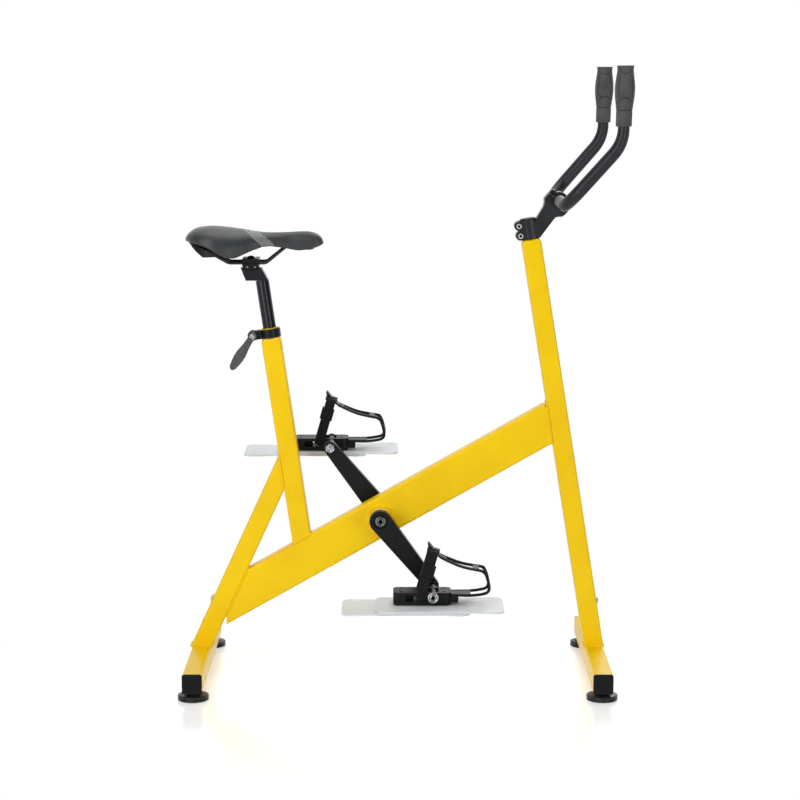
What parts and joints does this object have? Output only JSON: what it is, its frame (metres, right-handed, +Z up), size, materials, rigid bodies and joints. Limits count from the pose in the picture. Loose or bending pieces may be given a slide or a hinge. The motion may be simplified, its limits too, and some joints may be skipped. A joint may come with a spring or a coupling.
{
  "type": "aqua bike",
  "caption": "Underwater exercise bike: square-tube frame on two base beams, slim saddle, upright horned handlebar, cranks with toe-clip pedals and flat drag fins.",
  "frame": {"origin": "on the floor, under the middle of the bike's overall length and width", "axes": "+X to the front, towards the handlebar; +Y to the rider's left; +Z up"},
  "size_m": [0.8896, 0.5, 1.248],
  "materials": {
    "yellow_paint": "gloss",
    "black_alloy": "satin, black anodised",
    "stainless": "satin",
    "black_plastic": "matt",
    "black_rubber": "matt",
    "grip_rubber": "matt, soft",
    "saddle_skin": "matt, fine grain",
    "webbing": "woven",
    "frosted_plastic": "frosted, translucent",
    "bush_plastic": "matt"
  },
  "bodies": {
    "frame": {"front_upright": "yellow_paint", "seat_tube": "yellow_paint", "rear_leg": "yellow_paint", "cross_beam": "yellow_paint", "bottom_bracket_shell": "yellow_paint", "right_axle_bush": "bush_plastic", "left_axle_bush": "bush_plastic", "front_base_beam": "yellow_paint", "rear_base_beam": "yellow_paint", "rear_right_end_cap": "black_plastic", "rear_left_end_cap": "black_plastic", "front_right_end_cap": "black_plastic", "front_left_end_cap": "black_plastic", "rear_right_foot": "black_rubber", "rear_left_foot": "black_rubber", "front_right_foot": "black_rubber", "front_left_foot": "black_rubber", "front_leg_bolt": "stainless", "rear_leg_bolt": "stainless", "stem": "black_alloy", "steerer_cap": "black_alloy", "stem_faceplate": "black_alloy", "upper_faceplate_bolt": "stainless", "lower_faceplate_bolt": "stainless", "lower_pinch_bolt": "stainless", "upper_pinch_bolt": "stainless", "seat_collar": "black_alloy", "collar_skewer": "stainless"},
    "crankset": {"crank_axle": "stainless", "right_crank": "black_alloy", "left_crank": "black_alloy", "right_crank_bolt": "stainless", "left_crank_bolt": "stainless", "right_pedal_axle": "stainless", "left_pedal_axle": "stainless"},
    "right_pedal": {"right_pedal_body": "black_plastic", "right_toe_clip": "black_plastic", "right_toe_strap": "webbing", "right_strap_buckle": "black_plastic", "right_upper_fin": "frosted_plastic", "right_lower_fin": "frosted_plastic"},
    "left_pedal": {"left_pedal_body": "black_plastic", "left_toe_clip": "black_plastic", "left_toe_strap": "webbing", "left_strap_buckle": "black_plastic", "left_upper_fin": "frosted_plastic", "left_lower_fin": "frosted_plastic"},
    "seatpost": {"seatpost": "black_alloy"},
    "rail_clamp": {"rail_cradle": "black_alloy", "rail_cap": "black_alloy", "rail_clamp_bolt": "black_alloy"},
    "saddle": {"saddle_cover": "saddle_skin", "saddle_base": "black_plastic", "right_saddle_rail": "black_alloy", "left_saddle_rail": "black_alloy"},
    "handlebar": {"handlebar": "black_alloy", "right_grip": "grip_rubber", "left_grip": "grip_rubber"},
    "clamp_lever": {"clamp_lever": "black_plastic"}
  },
  "joints": [
    {"name": "crank_spin", "type": "hinge", "parent": "frame", "child": "crankset", "pos_m": [-0.04312, 0, 0.3295], "axis": [0, 1, 0], "continuous": true},
    {"name": "right_pedal_spin", "type": "hinge", "parent": "crankset", "child": "right_pedal", "pos_m": [0.0627, -0.1455, 0.19646], "axis": [0, 1, 0], "continuous": true},
    {"name": "left_pedal_spin", "type": "hinge", "parent": "crankset", "child": "left_pedal", "pos_m": [-0.14895, 0.1455, 0.46254], "axis": [0, 1, 0], "continuous": true},
    {"name": "seatpost_slide", "type": "slide", "parent": "frame", "child": "seatpost", "axis": [-0.1444, 0, 0.9895], "range_m": [-0.06, 0.08]},
    {"name": "saddle_tilt", "type": "hinge", "parent": "seatpost", "child": "rail_clamp", "pos_m": [-0.30585, 0, 0.86006], "axis": [0, 1, 0], "range_deg": [-12, 12]},
    {"name": "saddle_slide", "type": "slide", "parent": "rail_clamp", "child": "saddle", "axis": [1, 0, 0], "range_m": [-0.008, 0.015]},
    {"name": "handlebar_tilt", "type": "hinge", "parent": "frame", "child": "handlebar", "pos_m": [0.31784, 0, 0.97801], "axis": [0, 1, 0], "range_deg": [-20, 20]},
    {"name": "lever_swing", "type": "hinge", "parent": "frame", "child": "clamp_lever", "pos_m": [-0.30374, -0.016, 0.70401], "axis": [0, 1, 0], "range_deg": [0, 90]}
  ]
}
